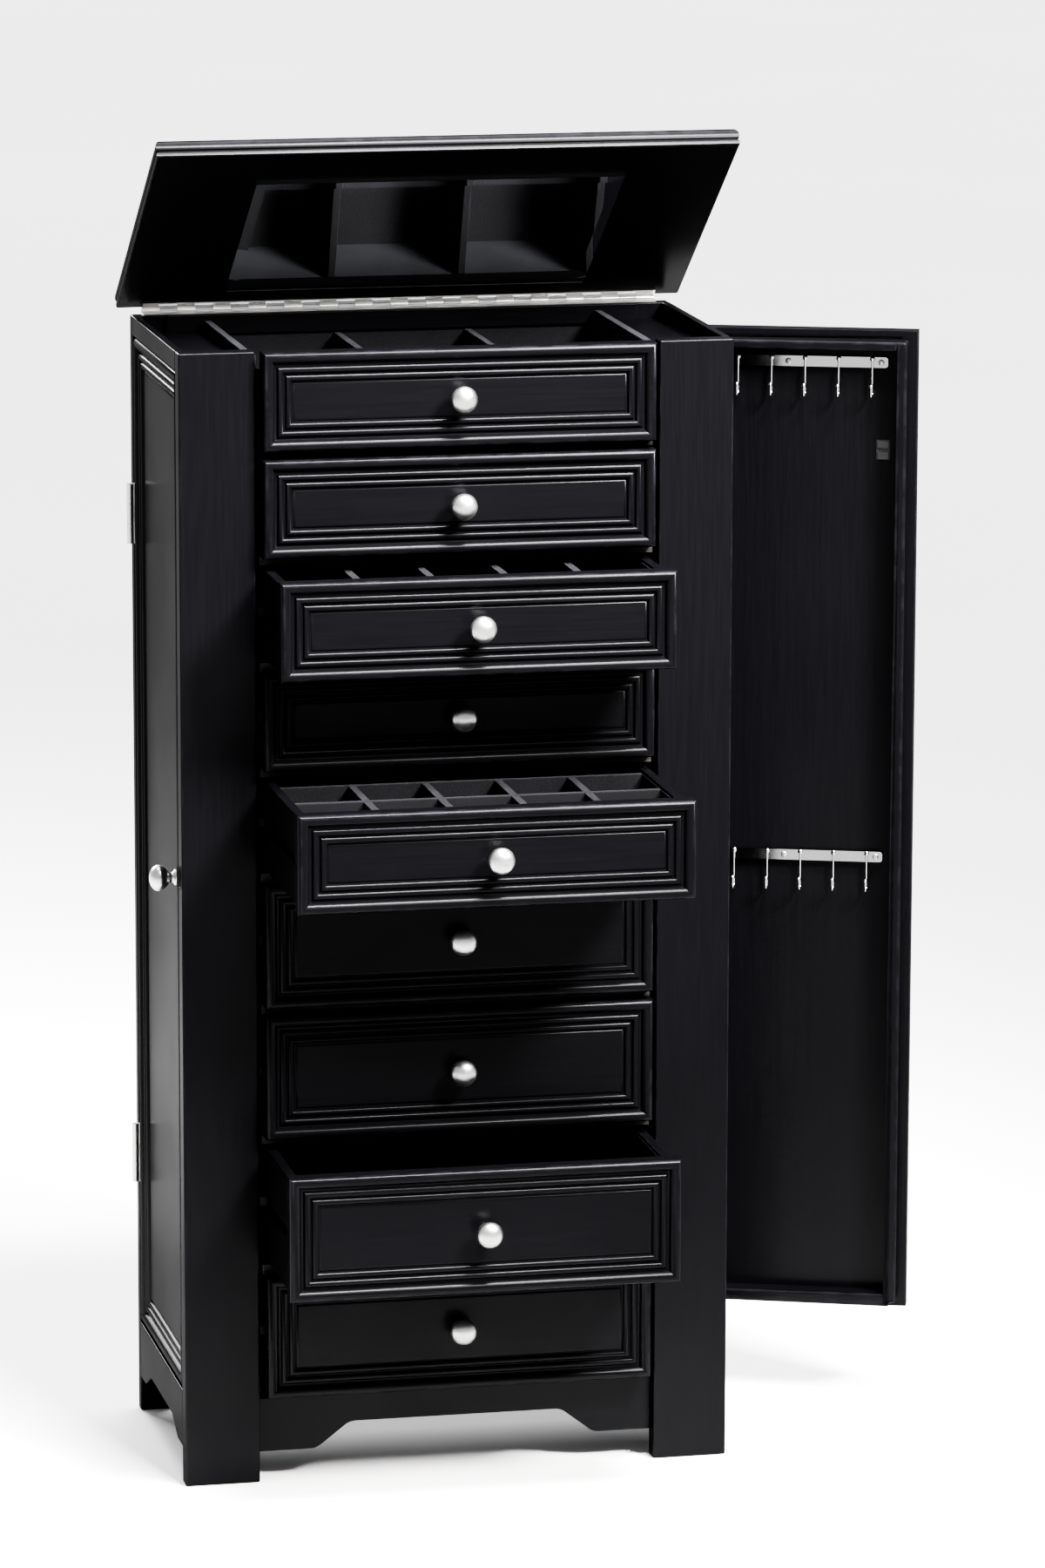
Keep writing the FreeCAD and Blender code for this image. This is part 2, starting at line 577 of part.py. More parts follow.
def hook_racks(side):
    """Two racks, each a rail with a row of hooks."""
    sign = SIDES[side]
    far = "(doorAxisGap + doorWidth - rackInset)"
    racks = []
    for name, level in (("upper", "rackUpper"), ("lower", "rackLower")):
        rail = door_board(f"{side}_{name}_rail", sign, (DOOR_INNER, f"{DOOR_INNER} + rackThick"),
                          (f"{far} - rackLength", far),
                          (f"{level} - rackHeight / 2", f"{level} + rackHeight / 2"))
        pieces = [rail]
        for index in range(HOOKS):
            along = f"{far} - rackLength / 2 + {index - (HOOKS - 1) / 2} * hookPitch"
            pieces += hook(f"{side}_{name}_hook_{index}", sign, along, level)
        racks.append(fused(f"{side}_{name}_rack", pieces))
    return grouped(f"{side}_racks_group", racks)


def door_leaf(name, sign, base, on_door):
    """A leaf of a butt hinge: the door's has the middle knuckle, the cabinet's the two outer ones."""
    height = f"(doorLeafHeight / {DOOR_KNUCKLES})"
    near = "doorLeafSpace" if on_door else "-doorLeafSpace - doorLeafThick"
    along = (near, f"{near} + doorLeafThick")
    edge = "(doorAxisOut + doorLeafSetback)"
    level = (base, f"{base} + doorLeafHeight")
    pieces = [door_board(f"{name}_plate", sign, (edge, f"{edge} + doorLeafWidth"), along, level)]
    for index in range(1 if on_door else 0, DOOR_KNUCKLES, 2):
        low = f"({base} + {index} * {height} + knuckleGap / 2)"
        high = f"({base} + {index + 1} * {height} - knuckleGap / 2)"
        pieces.append(door_board(f"{name}_tab_{index}", sign, (f"{edge} - doorTabReach", edge), along,
                                 (low, high)))
        pieces.append(rod(f"{name}_knuckle_{index}", "doorKnuckleRadius", f"{high} - {low}", z=low))
    bore = rod(f"{name}_bore", "doorBoreRadius", "doorLeafHeight + 2 * knuckleGap", z=f"{base} - knuckleGap")
    return cut(name, fused(f"{name}_blank", pieces), bore)


HINGE_BASES = {"lower": "(doorBase + doorHingeInset)", "upper": "(doorTop - doorHingeInset - doorLeafHeight)"}


def make_door(side):
    """A side door with its tray, racks, knob, leaves and strike plate."""
    sign = SIDES[side]
    hang_door(door_slab(side), side, "board")
    hang_door(tray_rim(side), side, "tray_rim")
    hang_door(hook_racks(side), side, "hook_racks")
    far = "(doorAxisGap + doorWidth)"
    item = knob(f"{side}_door_knob_solid")
    place(item, f"{-sign} * (doorAxisOut + frontRecess)", f"doorKnobInset - {far}", "doorKnobLevel",
          axis=(0, sign, 0), angle="90")
    hang_door(grouped(f"{side}_door_knob_group", [item]), side, "knob")
    leaves = [door_leaf(f"{side}_{name}_door_leaf", sign, base, True) for name, base in HINGE_BASES.items()]
    hang_door(grouped(f"{side}_door_leaves_group", leaves), side, "hinge_leaves")
    plate = door_board(f"{side}_strike", sign, (DOOR_INNER, f"{DOOR_INNER} + strikeThick"),
                       (f"{far} - strikeInset - strikeWidth", f"{far} - strikeInset"),
                       ("strikeLevel - strikeHeight / 2", "strikeLevel + strikeHeight / 2"))
    hang_door(grouped(f"{side}_strike_group", [plate]), side, "strike_plate")


def make_door_fittings():
    """The cabinet's leaves, the pins of all the hinges and the magnetic catches."""
    leaves, pins, catches = [], [], []
    far = "(doorAxisGap + doorWidth)"
    for side, sign in SIDES.items():
        for name, base in HINGE_BASES.items():
            leaf = door_leaf(f"{side}_{name}_cabinet_leaf", sign, base, False)
            leaves.append(place(grouped(f"{side}_{name}_cabinet_leaf_place", [leaf]), **hinge_place(sign)))
            pins.append(rod(f"{side}_{name}_pin", "doorPinRadius", "doorLeafHeight", z=base,
                            **hinge_place(sign)))
        reach = f"({SIDE} - doorThick - strikeThick - catchGap)"
        x = (PARTITION_OUT, reach) if sign > 0 else (f"-{reach}", f"-{PARTITION_OUT}")
        start = f"({HINGE_Y} - {far} + strikeInset)"
        catches.append(board(f"{side}_catch", x, (start, f"{start} + strikeWidth"),
                             ("strikeLevel - catchHeight / 2", "strikeLevel + catchHeight / 2")))
    length = f"({LID_KNUCKLES} * knucklePitch)"
    pins.append(rod("lid_pin", "pinRadius", length, x=f"-{length} / 2", y=f"{BACK} + pinBehind",
                    z="bodyHeight + leafLevel", axis=(0, 1, 0), angle="90"))
    sub_part(grouped("door_leaves_group", leaves), "door_hinge_cabinet_leaves")
    sub_part(grouped("pins_group", pins), "hinge_pins")
    sub_part(grouped("catches_group", catches), "door_catches")


make_carcass()
make_aprons()
make_tray()
make_false_front()
for drawer in range(2, FRONTS + 1):
    make_drawer(drawer)
make_drawer_supports()
make_lid()
for door_side in SIDES:
    make_door(door_side)
make_door_fittings()

doc.recompute()
failed = [item.Name for item in doc.Objects if {"Invalid", "Error"} & set(item.State)]
bad = [item.Label for item in sub_parts if item.Shape.isNull() or not item.Shape.isValid()]
if failed or bad:
    raise RuntimeError(f"failed objects: {failed}; bad shapes: {bad}")

os.makedirs("parts", exist_ok=True)
for item in sub_parts:
    item.Shape.exportStep(f"parts/{item.Label}.step")
print(len(sub_parts), "sub-parts written")
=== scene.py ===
"""Looks of the jewelry armoire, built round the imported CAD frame.

Hinge leaves and pins keep their CAD shape. Every other node is replaced by a finer piece.
"""
import json
import math

import bmesh
import bpy
from mathutils import Matrix, Vector


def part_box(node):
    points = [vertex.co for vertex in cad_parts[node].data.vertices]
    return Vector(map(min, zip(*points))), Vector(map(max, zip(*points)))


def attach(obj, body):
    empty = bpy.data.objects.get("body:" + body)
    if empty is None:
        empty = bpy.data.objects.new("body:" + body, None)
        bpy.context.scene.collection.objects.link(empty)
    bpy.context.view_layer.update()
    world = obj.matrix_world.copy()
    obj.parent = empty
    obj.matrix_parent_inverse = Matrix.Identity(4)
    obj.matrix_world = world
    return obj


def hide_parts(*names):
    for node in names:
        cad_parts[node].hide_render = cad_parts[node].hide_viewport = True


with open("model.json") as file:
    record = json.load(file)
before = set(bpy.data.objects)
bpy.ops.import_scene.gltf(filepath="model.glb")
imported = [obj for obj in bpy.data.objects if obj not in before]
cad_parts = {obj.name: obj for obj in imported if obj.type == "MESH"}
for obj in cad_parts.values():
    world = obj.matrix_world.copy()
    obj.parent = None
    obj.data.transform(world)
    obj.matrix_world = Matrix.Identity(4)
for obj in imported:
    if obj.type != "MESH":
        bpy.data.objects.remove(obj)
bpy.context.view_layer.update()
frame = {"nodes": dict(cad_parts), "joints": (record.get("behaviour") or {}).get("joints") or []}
NODES = frame["nodes"]
MM = 0.001
JOINTS = {joint["child"]: joint for joint in frame["joints"]}
# The first front from the top is fixed, so drawers are numbered from 2.
DRAWERS = range(2, 10)
# The sign of X on each side.
SIDES = {"left": -1, "right": 1}


# --- materials ---------------------------------------------------------------------------------

class Shader:
    """A Principled material, with short calls for the nodes that feed it."""

    def __init__(self, name, fixed):
        self.material = bpy.data.materials.new(name)
        self.material.use_nodes = True
        self.nodes = self.material.node_tree.nodes
        self.links = self.material.node_tree.links
        self.surface = self.nodes["Principled BSDF"]
        for socket, value in fixed.items():
            self.surface.inputs[socket].default_value = value
        self.where = self.nodes.new("ShaderNodeTexCoord").outputs["Object"]

    def feed(self, socket, value):
        if isinstance(value, bpy.types.NodeSocket):
            self.links.new(value, socket)
        else:
            socket.default_value = value

    def noise(self, scale, detail=2.0, stretch=(1, 1, 1)):
        """Noise with that many features to the metre, in object space."""
        spread = self.nodes.new("ShaderNodeMapping")
        spread.inputs["Scale"].default_value = stretch
        self.links.new(self.where, spread.inputs["Vector"])
        node = self.nodes.new("ShaderNodeTexNoise")
        node.inputs["Scale"].default_value = scale
        node.inputs["Detail"].default_value = detail
        self.links.new(spread.outputs["Vector"], node.inputs["Vector"])
        return node.outputs["Fac"]

    def remap(self, value, low, high, start=0.35, end=0.65):
        """Low where the value is at start, high where it is at end. Noise lies mostly in 0.35 to 0.65."""
        node = self.nodes.new("ShaderNodeMapRange")
        self.links.new(value, node.inputs["Value"])
        for socket, number in (("From Min", start), ("From Max", end), ("To Min", low), ("To Max", high)):
            node.inputs[socket].default_value = number
        return node.outputs["Result"]

    def mix(self, factor, first, second):
        """A colour between two. A Mix node has sockets for every data type; these are the colour ones."""
        factor_in, first_in, second_in, colour_out = 0, 6, 7, 2
        node = self.nodes.new("ShaderNodeMix")
        node.data_type = "RGBA"
        self.feed(node.inputs[factor_in], factor)
        self.feed(node.inputs[first_in], first)
        self.feed(node.inputs[second_in], second)
        return node.outputs[colour_out]

    def arithmetic(self, operation, first, second):
        node = self.nodes.new("ShaderNodeMath")
        node.operation = operation
        self.feed(node.inputs[0], first)
        self.feed(node.inputs[1], second)
        return node.outputs[0]

    def times(self, first, second):
        return self.arithmetic("MULTIPLY", first, second)

    def plus(self, first, second):
        return self.arithmetic("ADD", first, second)

    def edge(self):
        """1 on faces that round off an edge, 0 on all others."""
        node = self.nodes.new("ShaderNodeAttribute")
        node.attribute_name = "edge"
        return node.outputs["Fac"]

    def bump(self, height, distance, below=None):
        """A normal tilted by a height of so many metres, on top of another bump if one is given."""
        node = self.nodes.new("ShaderNodeBump")
        node.inputs["Strength"].default_value = 1.0
        node.inputs["Distance"].default_value = distance
        self.links.new(height, node.inputs["Height"])
        if below is not None:
            self.links.new(below, node.inputs["Normal"])
        return node.outputs["Normal"]

    def finish(self, colour, roughness, normal):
        self.links.new(colour, self.surface.inputs["Base Color"])
        self.links.new(roughness, self.surface.inputs["Roughness"])
        self.links.new(normal, self.surface.inputs["Normal"])
        return self.material


def grey(level, warmth=0.0):
    return (level * (1 + warmth), level, level * (1 - warmth), 1)


def cool_black(level):
    """A black with a slight violet cast."""
    return (level * 1.02, level * 0.96, level * 1.2, 1)


def along(axis):
    """Stretches a texture into a grain that runs along one axis."""
    stretched, plain = 0.04, 1.0
    return tuple(stretched if index == axis else plain for index in range(3))


def lacquer(name, grain_axis):
    """Satin black lacquer: a clear coat of uneven gloss over a faint grain, with slightly rubbed edges."""
    s = Shader(name, {"Specular IOR Level": 0.0, "Coat Roughness": 0.27})
    grain = s.noise(scale=420, detail=5.0, stretch=along(grain_axis))
    orange_peel = s.noise(scale=520, detail=1.0)
    cloud = s.noise(scale=7)
    scuffs = s.remap(s.noise(scale=60, detail=3.0), low=0.0, high=1.0, start=0.45, end=0.62)
    rubbed = s.times(s.edge(), scuffs)
    body = s.mix(s.remap(grain, low=0, high=1), cool_black(0.0026), cool_black(0.0033))
    colour = s.mix(rubbed, body, cool_black(0.006))
    lost_gloss = -0.02
    gloss = s.plus(s.remap(cloud, low=0.13, high=0.16), s.times(rubbed, lost_gloss))
    normal = s.bump(grain, 0.004 * MM, s.bump(orange_peel, 0.003 * MM))
    s.links.new(gloss, s.surface.inputs["Coat Weight"])
    s.links.new(normal, s.surface.inputs["Coat Normal"])
    return s.finish(colour, s.remap(cloud, low=0.45, high=0.6), normal)


def stained_wood(name, grain_axis):
    """Dark stained wood with open grain, as on the rails and guides that a drawer hides."""
    s = Shader(name, {"Specular IOR Level": 0.25})
    grain = s.noise(scale=500, detail=6.0, stretch=along(grain_axis))
    colour = s.mix(s.remap(grain, low=0, high=1), grey(0.006, 0.1), grey(0.018, 0.2))
    normal = s.bump(grain, 0.06 * MM)
    return s.finish(colour, s.remap(s.noise(scale=30), low=0.5, high=0.68), normal)


def felt(name):
    """Short black felt: matt, with a soft sheen, loose fibres and slightly uneven pile."""
    s = Shader(name, {"Specular IOR Level": 0.15, "Sheen Weight": 0.05, "Sheen Roughness": 0.45,
                      "Sheen Tint": (0.62, 0.66, 0.74, 1)})
    pile = s.noise(scale=1500, detail=4.0)
    fibre = s.noise(scale=900, detail=6.0, stretch=(1.0, 0.25, 1.0))
    patch = s.noise(scale=28, detail=3.0)
    base = s.mix(s.remap(patch, low=0, high=1), cool_black(0.0022), cool_black(0.0042))
    loose = s.remap(fibre, low=0, high=0.6, start=0.52, end=0.72)
    colour = s.mix(loose, base, cool_black(0.011))
    normal = s.bump(pile, 0.45 * MM, s.bump(fibre, 0.4 * MM, s.bump(patch, 0.6 * MM)))
    return s.finish(colour, s.remap(patch, low=0.88, high=0.98), normal)


def metal(name, level, rough, warmth=0.0, brushed=(1, 1, 1)):
    """Plated metal: faint stains and scratches, and slightly lighter edges where the plating has worn."""
    s = Shader(name, {"Metallic": 1.0})
    scratches = s.noise(scale=900, detail=4.0, stretch=brushed)
    stain = s.noise(scale=55, detail=3.0)
    wear = s.remap(s.noise(scale=140), low=0.0, high=1.0, start=0.4, end=0.6)
    stained, worn = grey(level * 0.93, warmth), grey(min(1.0, level * 1.1), warmth)
    plate = s.mix(s.remap(stain, low=0, high=1), stained, grey(level, warmth))
    colour = s.mix(s.times(s.edge(), wear), plate, worn)
    scratched = s.times(s.remap(scratches, low=0, high=1), rough * 0.25)
    roughness = s.plus(s.remap(stain, low=rough, high=rough * 1.25), scratched)
    return s.finish(colour, roughness, s.bump(scratches, 0.006 * MM))


def mirror_glass(name):
    """Silvered glass with faint smears and a very slight wave."""
    s = Shader(name, {"Metallic": 1.0, "Coat Weight": 0.4, "Coat Roughness": 0.01})
    smear = s.noise(scale=14, detail=4.0, stretch=(1.0, 0.5, 1.0))
    wave = s.noise(scale=9, detail=1.0)
    colour = s.mix(s.remap(smear, low=0, high=1), (0.80, 0.84, 0.84, 1), (0.88, 0.91, 0.91, 1))
    return s.finish(colour, s.remap(smear, low=0.012, high=0.035), s.bump(wave, 0.01 * MM))


def moulded_plastic(name):
    """Black plastic with a fine moulded grit."""
    s = Shader(name, {"Specular IOR Level": 0.4})
    grit = s.noise(scale=1600)
    colour = s.mix(s.remap(grit, low=0, high=1), grey(0.010), grey(0.016))
    return s.finish(colour, s.remap(s.noise(scale=80), low=0.42, high=0.55), s.bump(grit, 0.03 * MM))


def pale_paper(name):
    s = Shader(name, {"Specular IOR Level": 0.1})
    patch = s.noise(scale=0.6)
    colour = s.mix(s.remap(patch, low=0, high=1), grey(0.83), grey(0.86))
    return s.finish(colour, s.remap(patch, low=0.8, high=0.9), s.bump(s.noise(scale=300), 0.1 * MM))


LACQUER = [lacquer(f"black_lacquer_{axis}", index) for index, axis in enumerate("xyz")]
WOOD = [stained_wood(f"inner_wood_{axis}", index) for index, axis in enumerate("xyz")]
FELT = felt("black_felt")
BRUSHED = (1.0, 0.15, 1.0)
NICKEL = metal("satin_nickel", level=0.60, rough=0.27, warmth=0.015)
BRIGHT = metal("bright_nickel", level=0.70, rough=0.13, brushed=BRUSHED)
RAIL = metal("polished_rail", level=0.34, rough=0.10, brushed=BRUSHED)
STEEL = metal("zinc_steel", level=0.42, rough=0.3, warmth=-0.01)
DARK_STEEL = metal("blackened_steel", level=0.07, rough=0.38)
MIRROR = mirror_glass("silvered_glass")
PLASTIC = moulded_plastic("catch_plastic")


# --- mesh helpers ------------------------------------------------------------------------------

def piece(name, shape, finish, body, stands_for=(), sharp=35.0):
    """Turns a bmesh into a piece of the object. Edges that turn by more than sharp degrees stay crisp."""
    limit = math.radians(sharp)
    for edge in shape.edges:
        edge.smooth = len(edge.link_faces) == 2 and edge.calc_face_angle(0.0) < limit
    for face in shape.faces:
        face.smooth = True
    mesh = bpy.data.meshes.new(name)
    shape.to_mesh(mesh)
    shape.free()
    mesh.materials.append(finish)
    item = bpy.data.objects.new(name, mesh)
    bpy.context.scene.collection.objects.link(item)
    even = item.modifiers.new("even_shading", "WEIGHTED_NORMAL")
    even.keep_sharp = True
    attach(item, body)
    if stands_for:
        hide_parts(*stands_for)
    return item


def new_shape(mesh=None):
    """An empty bmesh, or one with a copy of a mesh, that can mark its edge-rounding faces."""
    shape = bmesh.new()
    if mesh is not None:
        shape.from_mesh(mesh)
    shape.faces.layers.float.new("edge")
    return shape


def mark_edges(shape, faces):
    layer = shape.faces.layers.float["edge"]
    for face in faces:
        face[layer] = 1.0


def round_off(shape, radius, segments=2, chosen=None):
    """Rounds the outward edges of a bmesh, all or the chosen ones, and marks the new faces for wear."""
    shape.normal_update()
    limit = math.radians(25)
    edges = [edge for edge in (chosen or shape.edges)
             if len(edge.link_faces) == 2 and edge.is_convex and edge.calc_face_angle(0.0) > limit]
    made = bmesh.ops.bevel(shape, geom=edges, offset=radius, segments=segments, profile=0.5,
                           affect="EDGES", clamp_overlap=True)
    mark_edges(shape, made["faces"])


def softened(node, radius, finish, body, segments=2):
    """A copy of a CAD node with its edges rounded, which stands for that node."""
    same_point, same_plane = 0.002 * MM, math.radians(0.6)
    shape = new_shape(NODES[node].data)
    bmesh.ops.remove_doubles(shape, verts=shape.verts, dist=same_point)
    bmesh.ops.dissolve_limit(shape, angle_limit=same_plane, verts=shape.verts, edges=shape.edges)
    round_off(shape, radius, segments)
    return piece(f"{node}.shaped", shape, finish, body, [node])


def add_box(shape, low, high):
    """Adds a box to a bmesh and returns its edges."""
    corners = [shape.verts.new((x, y, z)) for x in (low[0], high[0])
               for y in (low[1], high[1]) for z in (low[2], high[2])]
    loops = ((0, 1, 3, 2), (4, 6, 7, 5), (0, 4, 5, 1), (2, 3, 7, 6), (0, 2, 6, 4), (1, 5, 7, 3))
    faces = [shape.faces.new([corners[index] for index in loop]) for loop in loops]
    return list({edge for face in faces for edge in face.edges})


def add_ring(shape, points):
    return [shape.verts.new(point) for point in points]


def bridge(shape, lower, upper):
    """A band of faces between two rings."""
    count = len(lower)
    return [shape.faces.new((lower[i], lower[(i + 1) % count], upper[(i + 1) % count], upper[i]))
            for i in range(count)]


def add_loft(shape, outlines):
    """A closed solid through a row of outlines. Returns the bands of faces between them."""
    rings = [add_ring(shape, points) for points in outlines]
    shape.faces.new(list(reversed(rings[0])))
    bands = [bridge(shape, lower, upper) for lower, upper in zip(rings, rings[1:])]
    shape.faces.new(rings[-1])
    return bands


def rectangle(low, high, z):
    """Four corners at one height, anticlockwise as seen from above."""
    return [Vector((x, y, z)) for x, y in ((low[0], low[1]), (high[0], low[1]),
                                           (high[0], high[1]), (low[0], high[1]))]


def round_angles(count):
    return [math.tau * step / count for step in range(count)]


def in_metres(outline):
    return [(radius * MM, height * MM) for radius, height in outline]


def add_lathe(shape, outline, place, sides):
    """Turns an outline of (radius, height) round the local Z axis. It starts and ends on the axis."""
    rings = []
    for radius, height in outline[1:-1]:
        rings.append(add_ring(shape, [place @ Vector((radius * math.cos(a), radius * math.sin(a), height))
                                      for a in round_angles(sides)]))
    for lower, upper in zip(rings, rings[1:]):
        bridge(shape, lower, upper)
    start = shape.verts.new(place @ Vector((0, 0, outline[0][1])))
    end = shape.verts.new(place @ Vector((0, 0, outline[-1][1])))
    for step in range(sides):
        following = (step + 1) % sides
        shape.faces.new((start, rings[0][following], rings[0][step]))
        shape.faces.new((end, rings[-1][step], rings[-1][following]))


def add_tube(shape, points, radius, sides=12):
    """A round wire along the points, closed at both ends."""
    outlines = []
    side = None
    for index, point in enumerate(points):
        ahead = points[min(index + 1, len(points) - 1)] - points[max(index - 1, 0)]
        ahead.normalize()
        if side is None:
            side = ahead.orthogonal().normalized()
        side = (side - ahead * side.dot(ahead)).normalized()
        other = ahead.cross(side)
        outlines.append([point + radius * (math.cos(a) * side + math.sin(a) * other)
                         for a in round_angles(sides)])
    add_loft(shape, outlines)


def pointing(origin, direction):
    """A matrix that takes the local Z axis to a direction at an origin."""
    return Matrix.Translation(origin) @ Vector(direction).to_track_quat("Z", "Y").to_matrix().to_4x4()


def at_rest(body):
    """The matrix from where a hinged body is closed to where it rests."""
    joint = JOINTS[body]
    pivot = Matrix.Translation(Vector(joint["pos_m"]))
    turn = Matrix.Rotation(math.radians(-joint["range_deg"][0]), 4, Vector(joint["axis"]))
    return pivot @ turn @ pivot.inverted()


def closed_box(node, place):
    """Lowest and highest corner of a hinged node when its body is closed."""
    back = place.inverted()
    points = [back @ vertex.co for vertex in NODES[node].data.vertices]
    return (Vector([min(p[axis] for p in points) for axis in range(3)]),
            Vector([max(p[axis] for p in points) for axis in range(3)]))


def moved(shape, place):
    bmesh.ops.transform(shape, matrix=place, verts=shape.verts)


# --- moulded boards ----------------------------------------------------------------------------

# (inset from the outer edge, depth below the face), in millimetres, from the rim to the sunk panel
ROUNDED_RIM = ((0.0, 4.4), (0.35, 2.9), (1.1, 1.6), (2.3, 0.6), (3.6, 0.12))
RIM_CREST = ((4.8, 0.0), (6.2, 0.25), (7.6, 0.95), (8.7, 2.0), (9.6, 3.4), (10.3, 4.6), (11.2, 5.0),
             (12.0, 4.9))
OUTER_BEAD = ((12.5, 4.2), (13.2, 3.2), (14.2, 2.45), (15.4, 2.15), (16.6, 2.45), (17.5, 3.2), (18.1, 4.3),
              (18.5, 5.2), (19.1, 5.2))
INNER_BEAD = ((19.6, 4.6), (20.3, 3.7), (21.3, 3.05), (22.4, 2.85), (23.5, 3.1), (24.4, 3.8), (25.0, 4.9),
              (25.4, 5.8), (26.2, 5.9))
PANEL_LIP = ((26.8, 5.4), (27.6, 5.05), (28.6, 5.0))
MOULDING = ROUNDED_RIM + RIM_CREST + OUTER_BEAD + INNER_BEAD + PANEL_LIP
RIM_BANDS = len(ROUNDED_RIM) - 1
BACK_CHAMFER = 0.8


def moulded_board(half_width, half_height, thick, place):
    """A board with a mitred moulding round a sunk panel. Local Z points out of the face at z = 0."""
    shape = new_shape()
    back_edge = ((BACK_CHAMFER, thick / MM), (0.0, thick / MM - BACK_CHAMFER))
    outlines = []
    for inset, depth in back_edge + MOULDING:
        x, y = half_width - inset * MM, half_height - inset * MM
        outlines.append(rectangle((-x, -y), (x, y), -depth * MM))
    chamfer, _, *moulding = add_loft(shape, outlines)
    for band in [chamfer] + moulding[:RIM_BANDS]:
        mark_edges(shape, band)
    moved(shape, place)
    return shape


def drawer_front(node, body):
    """The moulded front of a drawer. Its face looks along -Y."""
    low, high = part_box(node)
    middle = (low + high) / 2
    place = Matrix.Translation((middle.x, low.y, middle.z)) @ Matrix.Rotation(math.radians(90), 4, "X")
    shape = moulded_board((high.x - low.x) / 2, (high.z - low.z) / 2, high.y - low.y, place)
    piece(f"{node}.moulded", shape, LACQUER[0], body, [node])


def door_panel(side):
    """The moulded board of a side door, built closed and then swung to where it rests."""
    body = f"{side}_door"
    node = f"{side}_door_board"
    swing = at_rest(body)
    low, high = closed_box(node, swing)
    sign = SIDES[side]
    middle = (low + high) / 2
    face = high.x if sign > 0 else low.x
    place = swing @ Matrix.Translation((face, middle.y, middle.z)) @ Matrix.Rotation(math.radians(90), 4, "X")
    place = place @ Matrix.Rotation(math.radians(90 * sign), 4, "Y")
    shape = moulded_board((high.y - low.y) / 2, (high.z - low.z) / 2, high.x - low.x, place)
    piece(f"{node}.moulded", shape, LACQUER[2], body, [node])


# (inset, height above the underside) in millimetres, up the front and side edges of the lid
LID_EDGE = ((2.0, 0.0), (0.9, 0.3), (0.3, 0.9), (0.3, 3.6), (0.6, 4.4), (1.6, 4.9), (1.9, 5.5), (1.7, 6.1),
            (0.6, 6.6), (0.1, 7.8), (0.0, 9.6), (0.25, 11.6), (0.9, 13.5), (2.0, 15.2), (3.5, 16.6),
            (5.3, 17.6), (7.2, 18.0))


def lid_panel():
    """The lid board: a double moulding on three sides and a square back edge."""
    swing = at_rest("lid")
    low, high = closed_box("lid_board", swing)
    outline_thick = LID_EDGE[-1][1] * MM
    scale = (high.z - low.z) / outline_thick
    shape = new_shape()
    outlines = []
    for inset, height in LID_EDGE:
        step = inset * MM
        z = low.z + height * MM * scale
        outlines.append(rectangle((low.x + step, low.y + step), (high.x - step, high.y), z))
    bands = add_loft(shape, outlines)
    underside_edge, top_round = bands[:2], bands[-6:]
    for band in underside_edge + top_round:
        mark_edges(shape, band)
    moved(shape, swing)
    piece("lid_board.moulded", shape, LACQUER[0], "lid", ["lid_board"])


def mirror_plate():
    """The mirror, with a wide flat bevel round its face. The face looks down when the lid is closed."""
    swing = at_rest("lid")
    low, high = closed_box("lid_mirror", swing)
    bevel, drop = 9 * MM, 0.7 * MM
    shape = new_shape()
    outlines = []
    for inset, z in ((0.0, high.z), (0.0, low.z + drop), (bevel, low.z)):
        corners = rectangle((low.x + inset, low.y + inset), (high.x - inset, high.y - inset), z)
        outlines.append(corners[::-1])
    add_loft(shape, outlines)
    moved(shape, swing)
    piece("lid_mirror.bevelled", shape, MIRROR, "lid", ["lid_mirror"], sharp=2.0)


# --- knobs, screws, racks, catches -------------------------------------------------------------

# (radius, height above the base) in millimetres
KNOB_STEM = ((0.0, 0.0), (7.0, 0.0), (7.0, 1.3), (6.7, 2.0), (6.0, 2.5), (5.1, 3.0), (4.6, 3.9), (4.4, 5.2),
             (4.7, 6.6), (5.6, 7.8), (7.0, 8.8), (8.3, 9.9))
KNOB_HEAD_RADIUS, KNOB_HEAD_MIDDLE, KNOB_HEAD_RISE = 11.5, 16.0, 8.2
# Number of sides of a knob, and of a screw, rivet, spacer or ball.
KNOB_SIDES, SMALL_SIDES = 56, 20


def knob_outline():
    """The stem, then an elliptical head from 40 degrees below its middle to its top."""
    outline = list(KNOB_STEM)
    steps, start, end = 16, -40, 90
    for step in range(1, steps + 1):
        angle = math.radians(start + (end - start) * step / steps)
        outline.append((KNOB_HEAD_RADIUS * math.cos(angle),
                        KNOB_HEAD_MIDDLE + KNOB_HEAD_RISE * math.sin(angle)))
    return in_metres(outline)


def turned_knob(node, body, base, direction):
    shape = new_shape()
    add_lathe(shape, knob_outline(), pointing(base, direction), KNOB_SIDES)
    piece(f"{node}.turned", shape, NICKEL, body, [node], sharp=50.0)


def front_knob(node, body):
    low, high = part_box(node)
    turned_knob(node, body, Vector(((low.x + high.x) / 2, high.y, (low.z + high.z) / 2)), (0, -1, 0))


def door_knob(side):
    body = f"{side}_door"
    node = f"{side}_door_knob"
    swing = at_rest(body)
    low, high = closed_box(node, swing)
    sign = SIDES[side]
    base = Vector((low.x if sign > 0 else high.x, (low.y + high.y) / 2, (low.z + high.z) / 2))
    turned_knob(node, body, swing @ base, swing.to_3x3() @ Vector((sign, 0, 0)))


